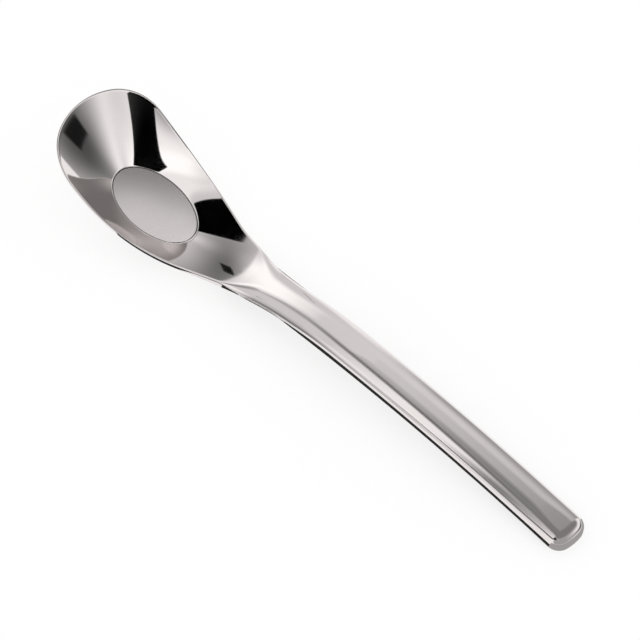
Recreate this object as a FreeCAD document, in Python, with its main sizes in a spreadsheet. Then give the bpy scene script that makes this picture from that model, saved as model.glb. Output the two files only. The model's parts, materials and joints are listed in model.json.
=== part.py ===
import FreeCAD, Part
import math
import os
import Sketcher

# A flat-bottomed soup spoon, forged in one piece. Lengths are in millimetres and angles in degrees.
# It is drawn with its flat bottom level on XY: the tip points along -X, the handle's end along +X.
# At the end it is laid down as it comes to rest, on the back of the flat bottom and the handle's end.
sizes = {
    # the bowl's floor is a flat oval, and the wall flares from it at its own slope each way
    "floorLength": 25.8,
    "floorWidth": 15.6,
    "wallThickness": 1.2,
    "flareHeight": 19.0,
    "tipSlope": 42.0,
    "sideSlope": 34.9,
    "neckSlope": 24.0,
    # the underside rises less steeply than the hollow, so the metal thickens towards the neck
    "undersideSlope": 21.2,
    # outline seen from above, from the tip to the handle's end
    "tipReach": 28.4,
    "bowlWidth": 31.4,
    # the front is blunter than a half round, and turns more tightly at its two corners
    "tipExtraRadius": 2.8,
    "frontLessRadius": 2.5,
    "sideRadius": 101.5,
    "neckRadius": 94.7,
    "handleWidth": 10.7,
    "handleReach": 142.6,
    "endCornerRadius": 3.6,
    "endCrownRadius": 13.6,
    # handle seen from the side: an arch that is highest at its crest
    "handleThickness": 4.6,
    "crestReach": 135.6,
    "crestHeight": 25.9,
    "archRadius": 447.0,
    # where the arch bends down into the bowl, on top and underneath
    "kneeReach": 65.0,
    "kneeRadius": 80.0,
    "kneeSlope": 17.2,
    "throatReach": 51.5,
    "throatRadius": 60.0,
    "throatSlope": 7.6,
    # how far the handle's forms run into the bowl, and how far the cutting forms stand clear
    "neckOverlap": 37.0,
    "clearance": 12.0,
    # rounded edges: fine on the rim, and growing along the neck to the handle's soft shoulder
    "rimRadius": 0.5,
    "shoulderRadius": 2.4,
    "footRadius": 1.0,
    "shoulderStart": 39.0,
    "shoulderEnd": 56.0,
}

atStart, atEnd, atCentre = range(1, 4)
origin = -1
xAxis = -1
up = FreeCAD.Vector(0, 0, 1)
meshStep = 0.02

document = FreeCAD.newDocument("FlatBottomedSpoon")
sheet = document.addObject("Spreadsheet::Sheet", "Sizes")
for row, (alias, value) in enumerate(sizes.items(), start=1):
    sheet.set(f"A{row}", alias)
    sheet.set(f"B{row}", str(value))
    sheet.setAlias(f"B{row}", alias)
document.recompute()


def size(alias):
    return float(getattr(sheet, alias))


def polar(radius, angle):
    return FreeCAD.Vector(math.cos(angle), math.sin(angle), 0) * radius


def stepTowards(start, target, length):
    return start + (target - start).normalize() * length


def mirrored(point, side):
    return FreeCAD.Vector(point.x, point.y * side, 0)


def makeFlare(name, skin, neckSlope):
    # the bowl's flaring form: ruled from the floor's oval up to the wide oval above the rim
    def reach(floor, slope, rise):
        angle = f"Sizes.{slope} * 1 deg"
        return f"(Sizes.{floor} / 2 + {skin} * tan({angle} / 2) + ({rise}) / tan({angle}))"

    ovals = []
    for level, height, rise in (
        ("Bottom", f"Sizes.wallThickness - {skin}", "0"),
        ("Top", "Sizes.wallThickness + Sizes.flareHeight", f"Sizes.flareHeight + {skin}"),
    ):
        circle = document.addObject("Part::Circle", f"{name}{level}Circle")
        circle.Radius = 1.0
        oval = document.addObject("Part::Scale", f"{name}{level}")
        oval.Base = circle
        oval.Uniform = False
        oval.ZScale = 1.0
        tip = reach("floorLength", "tipSlope", rise)
        neck = reach("floorLength", neckSlope, rise)
        oval.setExpression("XScale", f"({neck} + {tip}) / 2")
        oval.setExpression("YScale", reach("floorWidth", "sideSlope", rise))
        oval.setExpression("Placement.Base.x", f"({neck} - {tip}) / 2")
        oval.setExpression("Placement.Base.z", height)
        ovals.append(oval)
    flare = document.addObject("Part::Loft", name)
    flare.Sections = ovals
    flare.Solid = True
    flare.Ruled = True
    return flare


class Outline:
    # a sketch whose dimensions are bound to the sheet as they are added

    def __init__(self, name, upright=False):
        self.sketch = document.addObject("Sketcher::SketchObject", name)
        if upright:
            self.sketch.Placement.Rotation = FreeCAD.Rotation(FreeCAD.Vector(1, 0, 0), 90)

    def line(self, start, end):
        return self.sketch.addGeometry(Part.LineSegment(start, end), False)

    def arc(self, centre, radius, fromPoint, toPoint):
        # runs anticlockwise about its centre
        first = math.atan2(fromPoint.y - centre.y, fromPoint.x - centre.x)
        last = math.atan2(toPoint.y - centre.y, toPoint.x - centre.x)
        if last < first:
            last += 2 * math.pi
        circle = Part.Circle(centre, up, radius)
        return self.sketch.addGeometry(Part.ArcOfCircle(circle, first, last), False)

    def fix(self, kind, *places):
        self.sketch.addConstraint(Sketcher.Constraint(kind, *places))

    def bind(self, expression, value, kind, *places):
        index = self.sketch.addConstraint(Sketcher.Constraint(kind, *places, value))
        self.sketch.setExpression(f"Constraints[{index}]", expression)

    def bindX(self, expression, value, curve, point):
        self.bind(expression, value, "DistanceX", origin, atStart, curve, point)

    def bindY(self, expression, value, curve, point):
        self.bind(expression, value, "DistanceY", origin, atStart, curve, point)


def drawPlan():
    # the outline seen from above: a blunt round front, and arcs that run smoothly into the handle
    bowlSide = size("bowlWidth") / 2
    handleSide = size("handleWidth") / 2
    tipRadius = bowlSide + size("tipExtraRadius")
    frontRadius = bowlSide - size("frontLessRadius")
    tipCentre = FreeCAD.Vector(tipRadius - size("tipReach"), 0, 0)
    frontUp = size("frontLessRadius")
    frontAlong = math.sqrt((tipRadius - frontRadius) ** 2 - frontUp ** 2)
    frontCentre = tipCentre + FreeCAD.Vector(-frontAlong, frontUp, 0)
    flankCentre = FreeCAD.Vector(frontCentre.x, bowlSide - size("sideRadius"), 0)
    crownCentre = FreeCAD.Vector(size("handleReach") - size("endCrownRadius"), 0, 0)

    neckUp = handleSide + size("neckRadius") - flankCentre.y
    neckAlong = math.sqrt((size("sideRadius") + size("neckRadius")) ** 2 - neckUp ** 2)
    neckCentre = flankCentre + FreeCAD.Vector(neckAlong, neckUp, 0)

    cornerUp = handleSide - size("endCornerRadius")
    cornerAlong = math.sqrt((size("endCrownRadius") - size("endCornerRadius")) ** 2 - cornerUp ** 2)
    cornerCentre = crownCentre + FreeCAD.Vector(cornerAlong, cornerUp, 0)

    tipToFront = stepTowards(tipCentre, frontCentre, tipRadius)
    frontToFlank = frontCentre + FreeCAD.Vector(0, frontRadius, 0)
    flankToNeck = stepTowards(flankCentre, neckCentre, size("sideRadius"))
    neckToHandle = neckCentre - FreeCAD.Vector(0, size("neckRadius"), 0)
    handleToCorner = cornerCentre + FreeCAD.Vector(0, size("endCornerRadius"), 0)
    cornerToCrown = stepTowards(crownCentre, cornerCentre, size("endCrownRadius"))

    plan = Outline("PlanOutline")
    tip = plan.arc(tipCentre, tipRadius, tipToFront, mirrored(tipToFront, -1))
    crown = plan.arc(crownCentre, size("endCrownRadius"), mirrored(cornerToCrown, -1), cornerToCrown)
    plan.fix("PointOnObject", tip, atCentre, xAxis)
    plan.bind("Sizes.bowlWidth / 2 + Sizes.tipExtraRadius", tipRadius, "Radius", tip)
    plan.bindX("Sizes.bowlWidth / 2 + Sizes.tipExtraRadius - Sizes.tipReach", tipCentre.x, tip, atCentre)
    plan.fix("PointOnObject", crown, atCentre, xAxis)
    plan.bind("Sizes.endCrownRadius", size("endCrownRadius"), "Radius", crown)
    plan.bindX("Sizes.handleReach - Sizes.endCrownRadius", crownCentre.x, crown, atCentre)

    for side in (1, -1):
        def sideArc(centre, radius, fromPoint, toPoint):
            points = [mirrored(fromPoint, side), mirrored(toPoint, side)][::side]
            return plan.arc(mirrored(centre, side), radius, *points)

        front = sideArc(frontCentre, frontRadius, frontToFlank, tipToFront)
        flank = sideArc(flankCentre, size("sideRadius"), flankToNeck, frontToFlank)
        neck = sideArc(neckCentre, size("neckRadius"), flankToNeck, neckToHandle)
        edge = plan.line(mirrored(neckToHandle, side), mirrored(handleToCorner, side))
        corner = sideArc(cornerCentre, size("endCornerRadius"), cornerToCrown, handleToCorner)

        # arcs run anticlockwise, so on the other side their ends change places
        first, last = (atStart, atEnd) if side == 1 else (atEnd, atStart)
        plan.fix("Tangent", tip, first, front, last)
        plan.fix("Tangent", front, first, flank, last)
        plan.fix("Vertical", front, atCentre, flank, atCentre)
        plan.fix("Tangent", flank, first, neck, first)
        plan.fix("Tangent", neck, last, edge, atStart)
        plan.fix("Tangent", edge, atEnd, corner, last)
        plan.fix("Tangent", corner, first, crown, last)

        plan.bind("Sizes.bowlWidth / 2 - Sizes.frontLessRadius", frontRadius, "Radius", front)
        plan.bindY(f"{side} * Sizes.frontLessRadius", side * frontUp, front, atCentre)
        plan.bind("Sizes.sideRadius", size("sideRadius"), "Radius", flank)
        plan.bind("Sizes.neckRadius", size("neckRadius"), "Radius", neck)
        plan.bind("Sizes.endCornerRadius", size("endCornerRadius"), "Radius", corner)
        plan.fix("Horizontal", edge)
        plan.bindY(f"{side} * Sizes.handleWidth / 2", side * handleSide, edge, atStart)
    return plan.sketch


def drawBeside(name, bendPlace, side, depth=0.0, depthText="0"):
    # the region above (side 1) or below (side -1) a curve that follows the arch, bends, and runs
    # straight into the bowl
    reach, bendRadius, rampSlope = [size(bendPlace + part) for part in ("Reach", "Radius", "Slope")]
    archRadius = size("archRadius") - depth
    archCentre = FreeCAD.Vector(size("crestReach"), size("crestHeight") - size("archRadius"), 0)
    farX = size("handleReach") + size("clearance")
    nearX = size("kneeReach") - size("neckOverlap")
    level = size("crestHeight") * max(side, 0) + size("clearance") * side
    levelText = f"Sizes.crestHeight * {max(side, 0)} + Sizes.clearance * {side}"

    bendAngle = math.acos((reach - archCentre.x) / archRadius)
    rampAngle = math.radians(90 + rampSlope)
    bendStart = archCentre + polar(archRadius, bendAngle)
    turn = 1 if rampAngle > bendAngle else -1
    bendCentre = bendStart - polar(bendRadius, bendAngle) * turn
    rampTop = bendCentre + polar(bendRadius, rampAngle) * turn
    rampFoot = FreeCAD.Vector(nearX, rampTop.y - (rampTop.x - nearX) * math.tan(math.radians(rampSlope)), 0)
    archEnd = archCentre + polar(archRadius, math.acos((farX - archCentre.x) / archRadius))
    nearCorner = FreeCAD.Vector(nearX, level, 0)
    farCorner = FreeCAD.Vector(farX, level, 0)

    region = Outline(name, upright=True)
    arch = region.arc(archCentre, archRadius, archEnd, bendStart)
    bend = region.arc(bendCentre, bendRadius, *(bendStart, rampTop)[::turn])
    archSide, rampSide = (atStart, atEnd)[::turn]
    ramp = region.line(rampFoot, rampTop)
    nearWall = region.line(rampFoot, nearCorner)
    closing = region.line(nearCorner, farCorner)
    farWall = region.line(farCorner, archEnd)

    region.fix("Tangent", arch, atEnd, bend, archSide)
    region.fix("Tangent", bend, rampSide, ramp, atEnd)
    region.fix("Coincident", ramp, atStart, nearWall, atStart)
    region.fix("Coincident", nearWall, atEnd, closing, atStart)
    region.fix("Coincident", closing, atEnd, farWall, atStart)
    region.fix("Coincident", farWall, atEnd, arch, atStart)
    region.fix("Vertical", nearWall)
    region.fix("Horizontal", closing)
    region.fix("Vertical", farWall)

    region.bindX("Sizes.crestReach", archCentre.x, arch, atCentre)
    region.bindY("Sizes.crestHeight - Sizes.archRadius", archCentre.y, arch, atCentre)
    region.bind(f"Sizes.archRadius - {depthText}", archRadius, "Radius", arch)
    region.bindX(f"Sizes.{bendPlace}Reach", reach, bend, archSide)
    region.bind(f"Sizes.{bendPlace}Radius", bendRadius, "Radius", bend)
    region.bind(f"Sizes.{bendPlace}Slope * 1 deg", math.radians(rampSlope), "Angle", ramp)
    region.bindX("Sizes.kneeReach - Sizes.neckOverlap", nearX, ramp, atStart)
    region.bindX("Sizes.handleReach + Sizes.clearance", farX, farWall, atStart)
    region.bindY(levelText, level, closing, atStart)
    return region.sketch


def extrude(name, sketch, forwards, backwards):
    solid = document.addObject("Part::Extrusion", name)
    solid.Base = sketch
    solid.DirMode = "Normal"
    solid.Solid = True
    solid.setExpression("LengthFwd", forwards)
    solid.setExpression("LengthRev", backwards)
    return solid


def combine(kind, name, base, tool):
    result = document.addObject(f"Part::{kind}", name)
    result.Base = base
    result.Tool = tool
    return result


def handleEdges(shape, faceUp):
    # edges between an upright face, as the outline cut it, and the handle's top or its underside
    swept = ("Part::GeomPlane", "Part::GeomCylinder")

    def normalAt(face, point):
        return face.normalAt(*face.Surface.parameter(point))

    def isUpright(face):
        return abs(normalAt(face, face.CenterOfMass).z) < 1e-4

    for number, edge in enumerate(shape.Edges, start=1):
        faces = shape.ancestorsOfType(edge, Part.Face)
        sides = [face for face in faces if isUpright(face)]
        others = [face for face in faces if not isUpright(face) and face.Surface.TypeId in swept]
        if len(sides) == 1 and len(others) == 1:
            middle = edge.valueAt((edge.FirstParameter + edge.LastParameter) / 2)
            if normalAt(others[0], middle).z * faceUp > 0.5:
                yield number, edge


def roundOff(name, base, faceUp, radiusAt):
    # the radius may vary from one end of an edge to the other
    document.recompute()
    rounded = document.addObject("Part::Fillet", name)
    rounded.Base = base
    rounded.Edges = [
        (number, radiusAt(edge.valueAt(edge.FirstParameter).x), radiusAt(edge.valueAt(edge.LastParameter).x))
        for number, edge in handleEdges(base.Shape, faceUp)
    ]
    return rounded


def shoulderAt(x):
    # the handle's soft shoulder narrows along the neck until it has the rim's fineness
    share = (x - size("shoulderStart")) / (size("shoulderEnd") - size("shoulderStart"))
    return size("rimRadius") + (size("shoulderRadius") - size("rimRadius")) * min(max(share, 0.0), 1.0)


def restingPlace(solid):
    # turned about Y until the side of its lower hull that carries its weight is level, its foot at Z 0
    def slope(start, end):
        return math.atan2(end[1] - start[1], end[0] - start[0])

    weight = solid.CenterOfGravity.x
    hull = []
    points = solid.tessellate(meshStep)[0]
    for x, z in sorted((point.x, point.z) for point in points):
        while len(hull) > 1 and slope(hull[-2], (x, z)) <= slope(hull[-2], hull[-1]):
            hull.pop()
        hull.append((x, z))
    for near, far in zip(hull, hull[1:]):
        if near[0] <= weight <= far[0]:
            tilt = math.degrees(slope(near, far))
    turned = FreeCAD.Placement(FreeCAD.Vector(), FreeCAD.Rotation(FreeCAD.Vector(0, 1, 0), tilt))
    points = [turned.multVec(point) for point in points]
    middle = (min(point.x for point in points) + max(point.x for point in points)) / 2
    lowest = min(point.z for point in points)
    turned.Base = FreeCAD.Vector(-middle, 0, -lowest)
    return turned


outerForm = makeFlare("OuterForm", "Sizes.wallThickness", "undersideSlope")
hollow = makeFlare("Hollow", "0", "neckSlope")
underside = drawBeside("UndersideProfile", "throat", 1, size("handleThickness"), "Sizes.handleThickness")
handleBar = extrude("HandleBar", underside, "Sizes.bowlWidth", "Sizes.bowlWidth")
belowTop = extrude("BelowTop", drawBeside("TopProfile", "knee", -1), "Sizes.bowlWidth", "Sizes.bowlWidth")
blank = extrude("Blank", drawPlan(), "Sizes.crestHeight + Sizes.clearance", "Sizes.clearance")

# the blank stays tall over the bowl; over the handle it ends at the top profile, with a soft shoulder
bowlBlock = document.addObject("Part::Box", "BowlBlock")
bowlBlock.setExpression("Length", "Sizes.tipReach + Sizes.clearance + Sizes.kneeReach - Sizes.neckOverlap")
bowlBlock.setExpression("Width", "Sizes.bowlWidth * 2")
bowlBlock.setExpression("Height", "Sizes.crestHeight + Sizes.clearance * 3")
bowlBlock.setExpression("Placement.Base.x", "-Sizes.tipReach - Sizes.clearance")
bowlBlock.setExpression("Placement.Base.y", "-Sizes.bowlWidth")
bowlBlock.setExpression("Placement.Base.z", "-Sizes.clearance * 2")
bowlBlank = combine("Common", "BowlBlank", blank, bowlBlock)
handleBlank = combine("Common", "HandleBlank", blank, belowTop)
shoulderedBlank = roundOff("ShoulderedBlank", handleBlank, 1, shoulderAt)
wholeBlank = combine("Fuse", "WholeBlank", bowlBlank, shoulderedBlank)

handleForm = combine("Common", "HandleForm", handleBar, blank)
footedHandle = roundOff("FootedHandle", handleForm, -1, lambda x: size("footRadius"))
massForm = combine("Fuse", "MassForm", outerForm, footedHandle)
outlinedForm = combine("Common", "OutlinedForm", massForm, wholeBlank)
spoon = combine("Cut", "Spoon", outlinedForm, hollow)
spoon.Label = "spoon"
document.recompute()
spoon.Placement = restingPlace(spoon.Shape)
document.recompute()

for item in document.Objects:
    if {"Invalid", "Error"} & set(item.State):
        raise RuntimeError(f"{item.Name} could not be built")
if spoon.Shape.isNull() or not spoon.Shape.isValid():
    raise RuntimeError("the spoon is not a valid solid")

os.makedirs("parts", exist_ok=True)
spoon.Shape.exportStep("parts/spoon.step")
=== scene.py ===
import bpy
import json
import math
import numpy as np
from mathutils import Matrix, Vector


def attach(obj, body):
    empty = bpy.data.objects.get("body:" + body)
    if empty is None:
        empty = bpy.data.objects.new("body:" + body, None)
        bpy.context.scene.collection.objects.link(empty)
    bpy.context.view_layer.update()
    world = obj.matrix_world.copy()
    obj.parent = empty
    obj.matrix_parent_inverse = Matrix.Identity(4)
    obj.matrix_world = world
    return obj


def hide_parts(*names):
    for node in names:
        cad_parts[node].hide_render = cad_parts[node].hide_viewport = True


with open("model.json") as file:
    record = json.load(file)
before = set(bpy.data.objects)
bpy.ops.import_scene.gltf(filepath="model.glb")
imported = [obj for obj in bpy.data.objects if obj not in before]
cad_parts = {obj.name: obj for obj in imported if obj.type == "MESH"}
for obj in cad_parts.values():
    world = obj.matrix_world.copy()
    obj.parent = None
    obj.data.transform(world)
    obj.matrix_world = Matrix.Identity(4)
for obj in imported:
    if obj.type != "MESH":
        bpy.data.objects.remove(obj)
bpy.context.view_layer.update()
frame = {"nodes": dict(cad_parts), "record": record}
print("frame loaded:", ", ".join(frame["nodes"]))

millimetre = 0.001

# The form is drawn level on its flat bottom, tip towards -X, in millimetres and degrees.
spoonForm = {
    "floorHalfLength": 12.9,
    "floorHalfWidth": 7.8,
    "wall": 1.2,
    "flareHeight": 19.0,
    "tipSlope": 42.0,
    "sideSlope": 34.9,
    "neckSlope": 24.0,
    "undersideSlope": 21.2,
    "tipReach": 28.4,
    "bowlHalfWidth": 15.7,
    "tipRadius": 18.5,
    "frontRadius": 13.2,
    "flankRadius": 101.5,
    "neckRadius": 94.7,
    "handleHalfWidth": 5.35,
    "handleReach": 142.6,
    "cornerRadius": 3.6,
    "crownRadius": 13.6,
    "handleThickness": 4.6,
    "crestReach": 135.6,
    "crestHeight": 25.9,
    "archRadius": 447.0,
    "knee": (65.0, 80.0, 17.2),  # reach, radius of the bend, slope of the ramp
    "throat": (51.5, 60.0, 7.6),
    "profileStart": 34.0,  # before this reach the handle's profile lifts clear of the bowl's walls
    "profileClear": 0.035,
    "joinReach": 46.0,  # where the bowl's rings meet the handle's rows
    "wallSag": 0.34,  # the inner wall is a little hollow between the floor and the rim
    "sagRun": (14.0, -2.0),  # a run is where a size goes over from one value to the next
    "creaseSoftness": 0.12,
    "kneeSoftness": 1.7,
    "throatSoftness": 1.2,
    "rimRadius": 0.5,
    "shoulderDrop": 2.4,  # the shoulder is wider than it is deep, and closes up at the handle's end
    "shoulderWidth": 4.4,
    "shoulderRun": (28.0, 39.0),
    "endWidth": 3.45,
    "endRun": (128.0, 138.5),
    "footRadius": 1.0,
    "footRun": (38.0, 50.0),
}
spoonMesh = {
    "tipSteps": 28,
    "frontSteps": 46,
    "flankSteps": 90,
    "neckSteps": 84,
    "handleStep": 1.0,
    "crownSteps": 5,
    "cornerSteps": 9,
    "roundingSteps": 12,
    "wallRings": 36,
    "creaseRings": 7,
    "creaseSpread": 3.2,  # how far those rings reach either way, as a multiple of the softness
    "floorRings": 7,
    "capRows": 6,
    "sideRows": 2,
}


class Flare:
    # a ruled wall that rises from an oval, each way at its own slope

    lowestShare, highestShare = -0.2, 4.0
    halvings = 44

    def __init__(self, form, skin, neckSlope):
        self.base = form["wall"] - skin
        self.rise = form["flareHeight"] + skin

        def reach(start, slope, rise):
            angle = math.radians(slope)
            return start + skin * math.tan(angle / 2) + rise / math.tan(angle)

        def oval(rise):
            tip = reach(form["floorHalfLength"], form["tipSlope"], rise)
            neck = reach(form["floorHalfLength"], neckSlope, rise)
            side = reach(form["floorHalfWidth"], form["sideSlope"], rise)
            return np.array([(neck - tip) / 2, (neck + tip) / 2, side])

        self.foot = oval(0.0)
        self.growth = oval(self.rise) - self.foot

    def shape(self, share):
        return [self.foot[i] + self.growth[i] * share for i in range(3)]

    def shareAt(self, x, y):
        # the share of the rise at which the wall passes through a point, found by halving
        low, high = np.full(np.shape(x), self.lowestShare), np.full(np.shape(x), self.highestShare)
        for _ in range(self.halvings):
            middle = (low + high) / 2
            centre, length, width = self.shape(middle)
            outside = ((x - centre) / length) ** 2 + (y / width) ** 2 > 1
            low, high = np.where(outside, middle, low), np.where(outside, high, middle)
        return (low + high) / 2

    def turnAt(self, x, y, share):
        centre, length, width = self.shape(share)
        return np.arctan2(y / width, (x - centre) / length)

    def point(self, turn, share):
        centre, length, width = self.shape(share)
        return centre + length * np.cos(turn), width * np.sin(turn)

    def height(self, x, y, softness):
        rise = self.rise * self.shareAt(x, y)
        blend = (rise + softness) ** 2 / (4 * softness)
        return self.base + np.where(rise > softness, rise, np.where(rise < -softness, 0.0, blend))


def profileHeight(form, x, bend, depth=0.0):
    # the arch of the handle, the bend and the straight ramp into the bowl
    reach, radius, slope = bend
    archRadius = form["archRadius"] - depth
    archX, archZ = form["crestReach"], form["crestHeight"] - form["archRadius"]
    start = math.asin((archX - reach) / archRadius)
    stop = math.radians(slope)
    turn = 1 if stop > start else -1
    startZ = archZ + archRadius * math.cos(start)
    rampX = reach - turn * radius * (math.sin(stop) - math.sin(start))
    rampZ = startZ - turn * radius * (math.cos(start) - math.cos(stop))
    arch = archZ + np.sqrt(archRadius ** 2 - (x - archX) ** 2)
    angle = np.arcsin(np.clip(math.sin(start) + turn * (reach - x) / radius, -1, 1))
    bent = startZ - turn * radius * (math.cos(start) - np.cos(angle))
    ramp = rampZ - (rampX - x) * math.tan(stop)
    clear = np.clip(form["profileStart"] - x, 0, None) ** 2 * form["profileClear"]
    return np.where(x > reach, arch, np.where(x > rampX, bent, ramp)) + clear


def softLower(first, second, softness):
    mix = np.clip(0.5 + 0.5 * (second - first) / softness, 0, 1)
    return second * (1 - mix) + first * mix - softness * mix * (1 - mix)


def ease(x, run, low, high):
    share = np.clip((x - run[0]) / (run[1] - run[0]), 0, 1)
    return low + (high - low) * share * share * (3 - 2 * share)


def outlineHalf(form, mesh):
    # points and outward directions along one side, from the tip to the middle of the handle's end
    front, flank, neck = form["bowlHalfWidth"], form["flankRadius"], form["neckRadius"]
    side, corner, crown = form["handleHalfWidth"], form["cornerRadius"], form["crownRadius"]
    tip, tight = form["tipRadius"], form["frontRadius"]
    tipX = tip - form["tipReach"]
    frontX = tipX - math.sqrt((tip - tight) ** 2 - (front - tight) ** 2)
    frontTurn = math.atan2(front - tight, frontX - tipX)
    flankY = front - flank
    neckY = side + neck
    neckX = frontX + math.sqrt((flank + neck) ** 2 - (neckY - flankY) ** 2)
    turn = math.atan2(neckY - flankY, neckX - frontX)
    crownX = form["handleReach"] - crown
    cornerX = crownX + math.sqrt((crown - corner) ** 2 - (side - corner) ** 2)
    cornerTurn = math.atan2(side - corner, cornerX - crownX)
    points, outward = [], []

    def arc(centre, radius, start, stop, steps, sign=1):
        for angle in np.linspace(start, stop, steps, endpoint=False):
            way = np.array([math.cos(angle), math.sin(angle)])
            points.append(np.array(centre) + radius * way)
            outward.append(way * sign)

    arc((tipX, 0), tip, math.pi, frontTurn, mesh["tipSteps"])
    arc((frontX, front - tight), tight, frontTurn, math.pi / 2, mesh["frontSteps"])
    arc((frontX, flankY), flank, math.pi / 2, turn, mesh["flankSteps"])
    arc((neckX, neckY), neck, turn + math.pi, 1.5 * math.pi, mesh["neckSteps"], -1)
    steps = int(round((cornerX - neckX) / mesh["handleStep"]))
    for x in np.linspace(neckX, cornerX, steps, endpoint=False):
        points.append(np.array([x, side]))
        outward.append(np.array([0.0, 1.0]))
    endFrom = len(points)
    arc((cornerX, side - corner), corner, math.pi / 2, cornerTurn, mesh["cornerSteps"])
    arc((crownX, 0), crown, cornerTurn, 0, mesh["crownSteps"])
    points.append(np.array([form["handleReach"], 0.0]))
    outward.append(np.array([1.0, 0.0]))
    return np.array(points), np.array(outward), endFrom


def buildSpoon(form, mesh):
    half, halfOut, endFrom = outlineHalf(form, mesh)
    flip = np.array([1, -1])
    # the whole loop runs from the tip along +Y to the end and back along -Y
    loopX, loopY = np.vstack([half, half[-2:0:-1] * flip]).T
    outX, outY = np.vstack([halfOut, halfOut[-2:0:-1] * flip]).T
    total, last = len(loopX), len(half) - 1
    join = int(np.argmin(np.abs(half[:, 0] - form["joinReach"])))
    across = 2 * (last - endFrom)
    verts, faces = [], []

    def add(x, y, z):
        # new points, and their numbers in the same rows and columns
        start = sum(len(group) for group in verts)
        x, y = np.broadcast_to(x, z.shape), np.broadcast_to(y, z.shape)
        verts.append(np.stack([x, y, z], -1).reshape(-1, 3))
        return np.arange(start, start + z.size).reshape(z.shape)

    def quads(grid, closed=False):
        if closed:
            grid = np.concatenate([grid, grid[:, :1]], axis=1)
        return np.stack([grid[:-1, :-1], grid[:-1, 1:], grid[1:, 1:], grid[1:, :-1]], -1).reshape(-1, 4)

    rim = form["rimRadius"]
    shoulderDrop = ease(loopX, form["shoulderRun"], rim, form["shoulderDrop"])
    shoulderWidth = np.minimum(
        ease(loopX, form["shoulderRun"], rim, form["shoulderWidth"]),
        ease(loopX, form["endRun"], form["shoulderWidth"], form["endWidth"]),
    )
    foot = ease(loopX, form["footRun"], rim, form["footRadius"])
    # top and underside: flare, bend, depth under the top, softness of the bend, width and drop of the border
    surfaces = (
        (1, Flare(form, 0.0, form["neckSlope"]), form["knee"], 0.0, form["kneeSoftness"],
         shoulderWidth, shoulderDrop),
        (-1, Flare(form, form["wall"], form["undersideSlope"]), form["throat"], form["handleThickness"],
         form["throatSoftness"], foot, foot),
    )
    edges = []
    for up, flare, bend, depth, softness, roundWidth, roundDrop in surfaces:
        rimShare = flare.shareAt(loopX, loopY)
        rimTurn = flare.turnAt(loopX, loopY, rimShare)
        sag = form["wallSag"] if up > 0 else 0.0

        def heightAt(x, y):
            share = flare.shareAt(x, y)
            whole = np.interp(flare.turnAt(x, y, share), rimTurn, rimShare, period=2 * math.pi)
            part = np.clip(share / whole, 0, 1)
            hollow = 4 * part * (1 - part) * ease(x, form["sagRun"], 0.0, sag)
            return softLower(flare.height(x, y, form["creaseSoftness"]) - hollow,
                             profileHeight(form, x, bend, depth), softness)

        patches = []
        # rounded border, from the outline inwards
        angles = np.linspace(0, math.pi / 2, mesh["roundingSteps"] + 1)[:, None]
        inset = roundWidth * (1 - np.cos(angles))
        x, y = loopX - outX * inset, loopY - outY * inset
        border = add(x, y, heightAt(x, y) - up * roundDrop * (1 - np.sin(angles)))
        patches.append(quads(border, closed=True))
        edges.append(border[0])
        inner, innerX, innerY = border[-1], x[-1], y[-1]

        # the handle's rows, one for each pair of points on its two sides
        spread = np.linspace(1, -1, across + 1)
        rows = []
        for i in range(join, endFrom + 1):
            rowX = np.full(across - 1, innerX[i])
            rowY = innerY[i] * spread[1:-1]
            middle = add(rowX, rowY, heightAt(rowX, rowY))
            rows.append((np.concatenate([[inner[i]], middle, [inner[total - i]]]), rowX, rowY))
        patches.append(quads(np.array([row[0] for row in rows])))

        # rows that bend into the handle's end; their ends are shared
        endX, endY = innerX[endFrom:total - endFrom + 1], innerY[endFrom:total - endFrom + 1]
        capRows = [rows[-1][0]]
        for step in range(1, mesh["capRows"]):
            share = step / mesh["capRows"]
            ids = rows[-1][0].copy()
            capX = rows[-1][1] * (1 - share) + endX[1:-1] * share
            capY = rows[-1][2] * (1 - share) + endY[1:-1] * share
            ids[1:-1] = add(capX, capY, heightAt(capX, capY))
            capRows.append(ids)
        capRows.append(inner[endFrom:total - endFrom + 1])
        patches.append(quads(np.array(capRows)))

        # the bowl's rings follow the wall's straight lines, close ones over the crease round the floor
        # and then even ones up to the border
        ringIds = np.concatenate([inner[total - join:], inner[:join], rows[0][0][:-1]])
        ringX = np.concatenate([innerX[total - join:], innerX[:join + 1], rows[0][1]])
        ringY = np.concatenate([innerY[total - join:], innerY[:join + 1], rows[0][2]])
        share = flare.shareAt(ringX, ringY)
        turn = flare.turnAt(ringX, ringY, share)
        crease = mesh["creaseSpread"] * form["creaseSoftness"] / flare.rise
        levels = np.concatenate([
            np.linspace(-crease, crease, mesh["creaseRings"])[:, None] + np.zeros(len(share)),
            crease + (share - crease) * np.linspace(0, 1, mesh["wallRings"] + 1)[1:-1, None],
        ])
        x, y = flare.point(turn, levels)
        rings = add(x, y, heightAt(x, y))
        patches.append(quads(np.vstack([rings, ringIds[None]]), closed=True))

        # the flat floor
        shares = np.linspace(1, 0, mesh["floorRings"] + 1)[1:-1, None]
        x, y = x[0] * shares, y[0] * shares
        floor = add(x, y, heightAt(x, y))
        patches.append(quads(np.vstack([floor[::-1], rings[:1]]), closed=True))
        origin = np.zeros(1)
        middle = add(origin, origin, heightAt(origin, origin))
        nearest = floor[-1]
        patches.append(np.stack([np.broadcast_to(middle, nearest.shape), nearest,
                                 np.roll(nearest, -1), np.roll(nearest, -1)], -1))
        faces += [(up, patch) for patch in patches]

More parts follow.
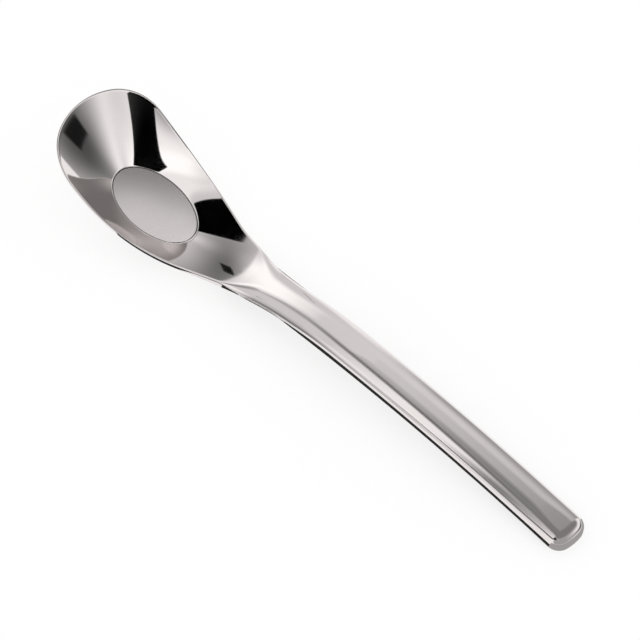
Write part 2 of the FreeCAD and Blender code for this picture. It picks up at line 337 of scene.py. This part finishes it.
    # the upright side between the two borders
    placed = np.vstack(verts)
    strip = [edges[0]]
    for row in range(1, mesh["sideRows"]):
        share = row / mesh["sideRows"]
        between = placed[edges[0]] * (1 - share) + placed[edges[1]] * share
        strip.append(add(between[:, 0], between[:, 1], between[:, 2]))
    strip.append(edges[1])
    faces.append((0, quads(np.array(strip), closed=True)))
    return np.vstack(verts), faces


def facedOutwards(verts, faces):
    # every patch turned to face out of the solid, without repeated corners
    out = []
    for up, patch in faces:
        corners = verts[patch]
        across = np.cross(corners[:, 2] - corners[:, 0], corners[:, 3] - corners[:, 1])
        middle = corners.mean(axis=1)
        facing = across[:, 2].sum() * up if up else (across[:, 1] * middle[:, 1]).sum()
        patch = patch if facing > 0 else patch[:, ::-1]
        whole = (patch != np.roll(patch, 1, axis=1)).all(axis=1)
        out += patch[whole].tolist()
        out += [list(dict.fromkeys(face)) for face in patch[~whole].tolist()]
    return [face for face in out if len(face) > 2]


def restPlacement():
    # the record's mount tells where the flat bottom's middle lies and which way it faces
    mount = frame["record"]["mounts"][0]
    down = Vector(mount["axis"])
    turn = Matrix.Rotation(math.atan2(-down.x, -down.z), 4, "Y")
    return Matrix.Translation(Vector(mount["pos_m"])) @ turn


def makeObject(name, verts, faces, smooth=True):
    data = bpy.data.meshes.new(name)
    data.from_pydata([tuple(v) for v in verts], [], faces)
    data.update()
    if smooth:
        data.shade_smooth()
    item = bpy.data.objects.new(name, data)
    bpy.context.scene.collection.objects.link(item)
    return item


class Sock:
    # a socket that takes part in sums

    def __init__(self, graph, socket):
        self.graph, self.socket = graph, socket

    def maths(self, operation, *others, swap=False):
        values = [self, *others][::-1] if swap else [self, *others]
        return self.graph.add("Math", {"operation": operation}, dict(enumerate(values)))

    def __add__(self, other):
        return self.maths("ADD", other)

    def __sub__(self, other):
        return self.maths("SUBTRACT", other)

    def __rsub__(self, other):
        return self.maths("SUBTRACT", other, swap=True)

    def __mul__(self, other):
        return self.maths("MULTIPLY", other)

    def __truediv__(self, other):
        return self.maths("DIVIDE", other)

    def __pow__(self, other):
        return self.maths("POWER", other)

    __radd__ = __add__
    __rmul__ = __mul__

    def ramp(self, low, high, start=0.0, stop=1.0):
        values = {"Value": self, "From Min": low, "From Max": high, "To Min": start, "To Max": stop}
        return self.graph.add("MapRange", {"interpolation_type": "SMOOTHSTEP"}, values)


class Graph:

    def __init__(self, tree):
        self.tree = tree
        tree.nodes.clear()

    def add(self, kind, settings=None, values=None, output=0):
        node = self.tree.nodes.new("ShaderNode" + kind)
        for name, value in (settings or {}).items():
            setattr(node, name, value)
        for name, value in (values or {}).items():
            if isinstance(value, Sock):
                self.tree.links.new(value.socket, node.inputs[name])
            else:
                node.inputs[name].default_value = value
        return Sock(self, node.outputs[output])

    def finish(self, kind, socket):
        node = self.tree.nodes.new("ShaderNodeOutput" + kind)
        self.tree.links.new(socket.socket, node.inputs["Surface"])


def mixColour(graph, factor, first, second):
    # the node's inputs 6 and 7 and its output 2 are the ones for colours
    return graph.add("Mix", {"data_type": "RGBA"}, {0: factor, 6: first, 7: second}, output=2)


def newMaterial(name):
    material = bpy.data.materials.new(name)
    material.use_nodes = True
    return material, Graph(material.node_tree)


# scales of noise are for places in millimetres
steel = {
    "colour": (0.825, 0.785, 0.777, 1.0),
    "warmColour": (0.815, 0.768, 0.759, 1.0),
    "polishRoughness": 0.03,
    "hazeRoughness": 0.02,  # what the cloudy spots add to the polish
    "hazeRange": (0.35, 0.7),
    "cloudScale": 0.09,
    "cloudDetail": 4.0,
    "cloudRoughness": 0.55,
    "satinRoughness": 0.25,
    "satinEdge": (0.975, 1.0),  # where the satin ends, as shares of the floor's oval
    "satinLevel": (0.9, 1.1),  # satin above this height only, so the flat bottom is polished
    "satinGrain": 0.02,
    "grainScale": 6.0,
    "grainDetail": 3.0,
    "grainRoughness": 0.6,
    "dishAlong": 0.02,  # how fast the satin floor curves, as a slope for each millimetre
    "dishAcross": 0.022,
}


def steelNoise(graph, place, name):
    return graph.add("TexNoise", {}, {
        "Vector": place,
        "Scale": steel[name + "Scale"],
        "Detail": steel[name + "Detail"],
        "Roughness": steel[name + "Roughness"],
    })


def makeSteel(placement):
    material, graph = newMaterial("polishedSteel")
    # places on the level form, in millimetres
    position = graph.add("TexCoord", output="Object")
    turned = graph.add("VectorMath", {"operation": "SUBTRACT"}, {0: position, 1: placement.translation})
    level = graph.add("VectorRotate", {"rotation_type": "Y_AXIS"},
                      {"Vector": turned, "Angle": math.atan2(-placement[0][2], placement[2][2])})
    level = graph.add("VectorMath", {"operation": "SCALE"}, {0: level, "Scale": 1 / millimetre})
    x, y, z = [graph.add("SeparateXYZ", {}, {0: level}, output=axis) for axis in "XYZ"]

    # the flat oval in the bowl is satin, its edge crisp, and it is dished by a hair
    ovalX = x / spoonForm["floorHalfLength"]
    ovalY = y / spoonForm["floorHalfWidth"]
    oval = (ovalX * ovalX + ovalY * ovalY) ** 0.5
    satin = oval.ramp(*steel["satinEdge"], 1.0, 0.0) * z.ramp(*steel["satinLevel"])
    dish = (x * x * steel["dishAlong"] + y * y * steel["dishAcross"]) * 0.5 * satin
    grain = steelNoise(graph, level, "grain")

    # the polish is a little cloudy
    haze = steelNoise(graph, level, "cloud").ramp(*steel["hazeRange"])
    polish = haze * steel["hazeRoughness"] + steel["polishRoughness"]
    brushed = grain * steel["satinGrain"] + (steel["satinRoughness"] - steel["polishRoughness"])
    colour = mixColour(graph, haze, steel["colour"], steel["warmColour"])
    bump = graph.add("Bump", {}, {"Height": dish, "Distance": millimetre, "Strength": 1.0})
    shader = graph.add("BsdfPrincipled", {}, {
        "Base Color": colour,
        "Metallic": 1.0,
        "Roughness": satin * brushed + polish,
        "Normal": bump,
    })
    graph.finish("Material", shader)
    return material


spoonVerts, spoonFaces = buildSpoon(spoonForm, spoonMesh)
spoonFaces = facedOutwards(spoonVerts, spoonFaces)
spoon = makeObject("spoonSkin", spoonVerts * millimetre, spoonFaces)
spoonPlacement = restPlacement()
spoon.data.transform(spoonPlacement)
spoon.data.materials.append(makeSteel(spoonPlacement))
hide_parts("spoon")
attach(spoon, "root")
print("spoon skin:", len(spoonVerts), "points")

view = {
    "lens": 500.0,
    "sensor": 36.0,
    "frameWidth": 0.15805,  # metres across the picture, measured at the middle
    "middle": (-0.014492, 0.012292, -0.0146),
    "right": (0.7068, 0.7070, -0.0282),
    "up": (-0.5585, 0.5820, 0.5906),
    "clipStart": 0.1,
    "clipEnd": 50.0,
}


def makeCamera():
    data = bpy.data.cameras.new("camera")
    data.lens = view["lens"]
    data.sensor_width = view["sensor"]
    camera = bpy.data.objects.new("camera", data)
    bpy.context.scene.collection.objects.link(camera)
    right = Vector(view["right"]).normalized()
    back = right.cross(Vector(view["up"])).normalized()
    up = back.cross(right)
    distance = view["frameWidth"] * view["lens"] / view["sensor"]
    turn = Matrix((right, up, back)).transposed().to_4x4()
    camera.matrix_world = Matrix.Translation(Vector(view["middle"]) + back * distance) @ turn
    data.clip_start, data.clip_end = view["clipStart"], view["clipEnd"]
    bpy.context.scene.camera = camera


makeCamera()

studio = {
    "floorColour": (0.35, 0.35, 0.35, 1.0),
    "floorGlow": 0.74,
    "floorHalf": 3.0,
    "lightColour": (1.0, 1.0, 1.0, 1.0),
    "ambient": 0.75,  # the room as light on things
    "seen": 1.0,  # the room as the camera and mirrors see it
    "stripHeight": 0.0005,
}
# cards from black to white that show only in the spoon's mirror finish. Each stands round the middle,
# or round the spot at the end of its row: azimuth, elevation and distance, width and height as seen
# from there, and roll, with all angles in degrees, then level, softness of the edge and taper
cards = {
    "paleTent": (167.3, 30.8, 1.9, 100.4, 89.7, 0, 0.714, 0.32, 0.0),
    "softbox": (-64.9, 46.5, 1.5, 110.0, 22.8, 0, 1.27, 0.75, 0.0),
    "highlight": (151.4, 35.2, 1.5, 33.5, 23.2, 0, 1.27, 0.97, 0.0),
    "gapStrip": (182.6, 74.0, 1.63, 20.6, 100.0, -27.3, 0.17, 1.0, 0.0),
    "overhead": (37.7, 71.0, 1.8, 98.7, 81.1, 0, 0.231, 0.61, 0.0),
    "bandLeft": (-43.4, 35.0, 0.903, 17.8, 66, 39.6, 0, 0.03, 0.03),
    "bandRight": (-170.1, 31.0, 0.16, 26.1, 15.0, 19.0, 0, 0.04, 0.0),
    "greyBehind": (-132.5, 8.3, 0.463, 77.2, 74.2, 20.4, 0.198, 0.95, 0.0),
    "horizon": (52.5, 9.6, 0.826, 110.0, 28.4, -13.5, 0.09, 0.96, 0.0),
    "neckGrey": (151.9, 22.7, 0.223, 97.8, 7.4, 34.5, 0.17, 1.0, 0.0),
    "nearEnd": (-68.6, 37.3, 0.163, 80.1, 16.4, 0, 0.008, 0.84, 0.0),
    "handleTop": (119.0, 49.7, 0.533, 61.8, 61.1, 11.3, 0.754, 0.94, 0.0),
    "farSide": (102.8, 29.0, 1.589, 27.6, 82.9, 0, 0.392, 0.6, 0.0),
    "flankGrey": (-33.6, 37.5, 0.08, 72.7, 52.7, 0, 0.243, 1.0, 0.0),
    "endGrey": (-15, 12, 0.115, 60, 30, 0, 0.4, 0.5, 0.0),
    "heelDark": (158.8, 21.0, 0.097, 2.9, 2.6, 0, 0.01, 0.3, 0.0),
    "tipDark": (44, 9.8, 0.06, 19.9, 3.6, -21, 0.01, 0.3, 0.0, (-0.08, -0.004, 0.016)),
}
# strips that lie on the floor, seen only in the lower edges of the spoon: level, corners as x and y
strips = {
    "bowlStrip": (0.03, (-0.06, -0.062), (-0.03, -0.062), (-0.03, -0.012), (-0.06, -0.012)),
    "handleStrip": (0.03, (-0.03, -0.0155), (0.081, -0.0071), (0.081, 0.006), (-0.03, 0.006)),
    "endStrip": (0.4, (0.081, -0.06), (0.14, -0.06), (0.14, 0.04), (0.081, 0.04)),
}


def makePanel(name, corners, height=0.0):
    # one flat face
    return makeObject(name, [(x, y, height) for x, y in corners], [(0, 1, 2, 3)], smooth=False)


def makeGlow(graph, strength, kind="Emission"):
    return graph.add(kind, {}, {"Color": studio["lightColour"], "Strength": strength})


def seenShare(graph):
    # 1 for what the camera or a mirror sees, 0 for light on things
    camera, glossy = [graph.add("LightPath", output=ray) for ray in ("Is Camera Ray", "Is Glossy Ray")]
    return camera.maths("MAXIMUM", glossy)


def showInMirrors(item, material):
    # the camera doesn't see it, and it neither lights nor shades other things
    item.data.materials.append(material)
    item.visible_camera = False
    item.visible_diffuse = False
    item.visible_shadow = False


def makeFloor():
    half = studio["floorHalf"]
    floor = makePanel("floor", [(-half, -half), (half, -half), (half, half), (-half, half)])
    material, graph = newMaterial("paleFloor")
    diffuse = graph.add("BsdfDiffuse", {}, {"Color": studio["floorColour"]})
    glow = makeGlow(graph, seenShare(graph) * studio["floorGlow"])
    graph.finish("Material", graph.add("AddShader", {}, {0: diffuse, 1: glow}))
    floor.data.materials.append(material)


def makeWorld():
    world = bpy.data.worlds.new("studio")
    bpy.context.scene.world = world
    world.use_nodes = True
    graph = Graph(world.node_tree)
    strength = seenShare(graph) * (studio["seen"] - studio["ambient"]) + studio["ambient"]
    graph.finish("World", makeGlow(graph, strength, "Background"))


def makeCard(name, azimuth, elevation, distance, width, height, roll, level, softness, taper, spot=(0, 0, 0)):
    halfWidth = distance * math.tan(math.radians(width / 2))
    halfHeight = distance * math.tan(math.radians(height / 2))
    low, high = halfWidth * (1 - taper), halfWidth * (1 + taper)
    card = makePanel(name, [(-low, -halfHeight), (low, -halfHeight), (high, halfHeight), (-high, halfHeight)])
    turnUp, turnRound = math.radians(elevation), math.radians(azimuth)
    sideways = math.cos(turnUp)
    away = Vector((sideways * math.cos(turnRound), sideways * math.sin(turnRound), math.sin(turnUp)))
    across = Vector((-math.sin(turnRound), math.cos(turnRound), 0))
    facing = Matrix((across, away.cross(across), away)).transposed().to_4x4()
    turned = facing @ Matrix.Rotation(math.radians(roll), 4, "Z")
    card.matrix_world = Matrix.Translation(Vector(spot) + away * distance) @ turned

    # the card fades out towards its edges
    material, graph = newMaterial(name)
    place = graph.add("TexCoord", output="Object")
    x, y = [graph.add("SeparateXYZ", {}, {0: place}, output=axis) for axis in "XY"]
    share = y / halfHeight
    side = x / (halfWidth * taper * share + halfWidth)
    cover = (1 - side.maths("ABSOLUTE")).ramp(0, softness) * (1 - share.maths("ABSOLUTE")).ramp(0, softness)
    clear = graph.add("BsdfTransparent")
    graph.finish("Material", graph.add("MixShader", {}, {0: cover, 1: clear, 2: makeGlow(graph, level)}))
    showInMirrors(card, material)


def makeStrip(name, level, *corners):
    item = makePanel(name, corners, studio["stripHeight"])
    material, graph = newMaterial(name)
    graph.finish("Material", makeGlow(graph, level))
    showInMirrors(item, material)


makeFloor()
makeWorld()
for name, values in strips.items():
    makeStrip(name, *values)
for name, values in cards.items():
    makeCard(name, *values)
bpy.context.scene.view_settings.view_transform = "Standard"
print("studio ready")
